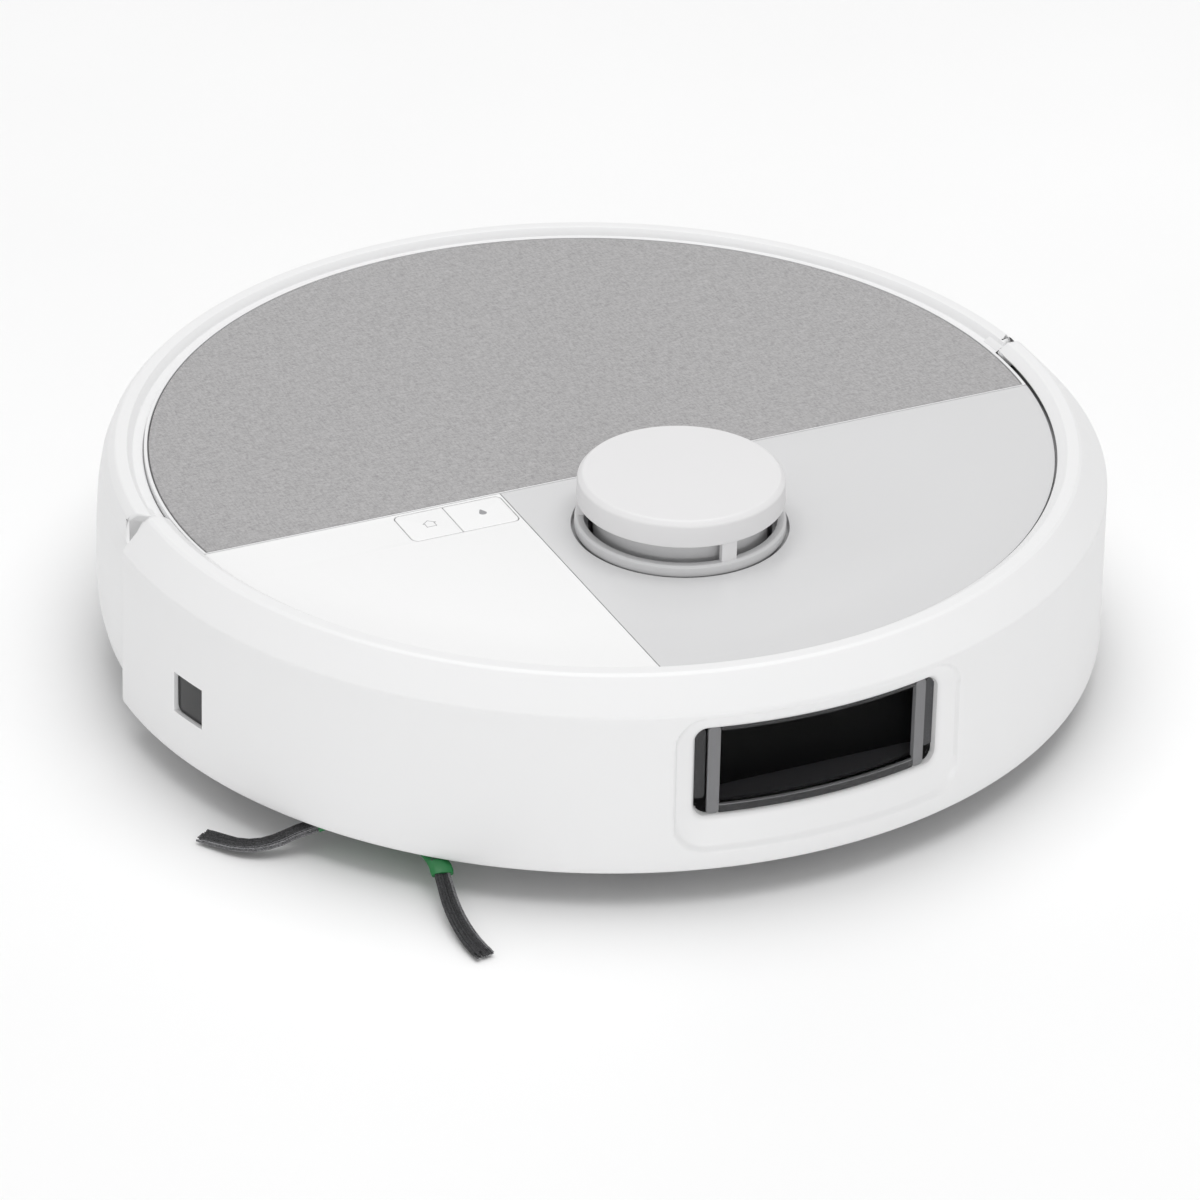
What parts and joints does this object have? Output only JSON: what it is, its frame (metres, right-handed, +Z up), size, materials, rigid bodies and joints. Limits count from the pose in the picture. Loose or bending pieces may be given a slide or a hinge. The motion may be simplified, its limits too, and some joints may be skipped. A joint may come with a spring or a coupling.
{
  "type": "robot vacuum",
  "caption": "Round floor-cleaning robot with laser turret, front camera window, side brush, roller and spinning mop pads under a low white body.",
  "frame": {"origin": "on the floor, under the middle of the body", "axes": "+Z up, -Y the driving direction, +X the robot's left"},
  "size_m": [0.3543, 0.348, 0.0981],
  "materials": {
    "white_plastic": "satin",
    "white_gloss": "gloss",
    "grey_plastic": "satin",
    "chassis_plastic": "matte",
    "black_plastic": "matte",
    "smoked_lens": "gloss",
    "smoked_bin": "gloss",
    "rotor_grey": "satin",
    "steel": "satin",
    "battery_blue": "satin",
    "board_green": "satin",
    "filter_fabric": "pleated",
    "grey_fabric": "woven",
    "brush_green": "satin",
    "bristle_black": "fibre",
    "roller_rubber": "satin",
    "tyre_rubber": "ribbed",
    "mop_fabric": "terry"
  },
  "bodies": {
    "root": {"base_chassis": "chassis_plastic", "chassis_wall": "chassis_plastic", "wheel_housings": "chassis_plastic", "rear_shell": "white_plastic", "top_deck": "chassis_plastic", "white_panel": "white_gloss", "grey_panel": "grey_plastic", "lidar_base": "chassis_plastic", "lidar_collar": "grey_plastic", "lidar_cap": "white_plastic", "lidar_motor": "steel", "battery_pack": "battery_blue", "main_board": "board_green", "button_board": "board_green", "blower_housing": "black_plastic", "blower_motor": "steel", "side_brush_motor": "black_plastic", "air_duct": "black_plastic", "camera_module": "black_plastic", "cliff_sensors": "smoked_lens", "charging_contacts": "steel", "bumper_switches": "black_plastic", "chassis_screws": "steel", "arm_springs": "steel"},
    "bumper": {"bumper_shell": "white_plastic", "window_frame": "black_plastic", "sensor_window": "smoked_lens", "side_sensor": "smoked_lens"},
    "dust_bin": {"dust_bin": "smoked_bin", "bin_lid": "black_plastic", "filter_frame": "black_plastic", "filter": "filter_fabric"},
    "rear_cover": {"cover_frame": "white_plastic", "fabric_panel": "grey_fabric"},
    "clean_button": {"clean_button": "white_gloss"},
    "home_button": {"home_button": "white_gloss"},
    "lidar_rotor": {"lidar_rotor": "rotor_grey"},
    "fan": {"fan_impeller": "rotor_grey"},
    "cleaning_head": {"brush_housing": "black_plastic", "brush_guard": "brush_green", "brush_motor": "black_plastic"},
    "roller": {"roller_core": "black_plastic", "roller_fins": "roller_rubber"},
    "arm_left": {"wheel_arm_left": "black_plastic"},
    "arm_right": {"wheel_arm_right": "black_plastic"},
    "wheel_left": {"wheel_hub_left": "rotor_grey", "tyre_left": "tyre_rubber"},
    "wheel_right": {"wheel_hub_right": "rotor_grey", "tyre_right": "tyre_rubber"},
    "caster": {"caster_fork": "black_plastic"},
    "caster_roller": {"caster_wheel": "tyre_rubber"},
    "side_brush": {"brush_hub": "brush_green", "brush_arms": "brush_green", "brush_bristles": "bristle_black"},
    "mop_carriage": {"mop_carriage": "black_plastic", "mop_motor": "steel"},
    "mop_left": {"mop_plate_left": "chassis_plastic", "mop_pad_left": "mop_fabric"},
    "mop_right": {"mop_plate_right": "chassis_plastic", "mop_pad_right": "mop_fabric"}
  },
  "joints": [
    {"name": "bumper_press", "type": "slide", "parent": "root", "child": "bumper", "axis": [0, 1, 0], "range_m": [0, 0.0025], "stiffness_N_per_m": 400, "springref_m": -0.002},
    {"name": "dust_bin_lift", "type": "slide", "parent": "root", "child": "dust_bin", "axis": [0, 0, 1], "range_m": [0, 0.07]},
    {"name": "rear_cover_lift", "type": "slide", "parent": "dust_bin", "child": "rear_cover", "axis": [0, 0, 1], "range_m": [0, 0.06]},
    {"name": "clean_button_press", "type": "slide", "parent": "root", "child": "clean_button", "axis": [0, 0, -1], "range_m": [0, 0.0006], "stiffness_N_per_m": 600, "springref_m": -0.0005},
    {"name": "home_button_press", "type": "slide", "parent": "root", "child": "home_button", "axis": [0, 0, -1], "range_m": [0, 0.0006], "stiffness_N_per_m": 600, "springref_m": -0.0005},
    {"name": "lidar_spin", "type": "hinge", "parent": "root", "child": "lidar_rotor", "pos_m": [0, -0.064, 0.066], "axis": [0, 0, 1], "continuous": true},
    {"name": "fan_spin", "type": "hinge", "parent": "root", "child": "fan", "pos_m": [0.1, 0.084, 0.045], "axis": [0, 0, 1], "continuous": true},
    {"name": "head_float", "type": "slide", "parent": "root", "child": "cleaning_head", "axis": [0, 0, 1], "range_m": [0, 0.003]},
    {"name": "roller_spin", "type": "hinge", "parent": "cleaning_head", "child": "roller", "pos_m": [0, -0.008, 0.02], "axis": [1, 0, 0], "continuous": true},
    {"name": "arm_left_drop", "type": "hinge", "parent": "root", "child": "arm_left", "pos_m": [0.1005, 0.038, 0.04], "axis": [1, 0, 0], "range_deg": [0, 25]},
    {"name": "arm_right_drop", "type": "hinge", "parent": "root", "child": "arm_right", "pos_m": [-0.1005, 0.038, 0.04], "axis": [1, 0, 0], "range_deg": [0, 25]},
    {"name": "wheel_left_spin", "type": "hinge", "parent": "arm_left", "child": "wheel_left", "pos_m": [0.118, 0, 0.035], "axis": [1, 0, 0], "continuous": true},
    {"name": "wheel_right_spin", "type": "hinge", "parent": "arm_right", "child": "wheel_right", "pos_m": [-0.118, 0, 0.035], "axis": [1, 0, 0], "continuous": true},
    {"name": "caster_swivel", "type": "hinge", "parent": "root", "child": "caster", "pos_m": [0, -0.128, 0.038], "axis": [0, 0, 1], "continuous": true},
    {"name": "caster_roll", "type": "hinge", "parent": "caster", "child": "caster_roller", "pos_m": [0, -0.122, 0.013], "axis": [1, 0, 0], "continuous": true},
    {"name": "side_brush_spin", "type": "hinge", "parent": "root", "child": "side_brush", "pos_m": [-0.1165, -0.104, 0.018], "axis": [0, 0, 1], "continuous": true},
    {"name": "mop_lift", "type": "slide", "parent": "root", "child": "mop_carriage", "axis": [0, 0, 1], "range_m": [0, 0.007]},
    {"name": "mop_left_spin", "type": "hinge", "parent": "mop_carriage", "child": "mop_left", "pos_m": [0.0605, 0.084, 0.01], "axis": [0, 0, 1], "continuous": true},
    {"name": "mop_right_spin", "type": "hinge", "parent": "mop_carriage", "child": "mop_right", "pos_m": [-0.0605, 0.084, 0.01], "axis": [0, 0, 1], "continuous": true}
  ],
  "couplings": [
    {"joint": "mop_right_spin", "follows": "mop_left_spin", "ratio": -1}
  ]
}
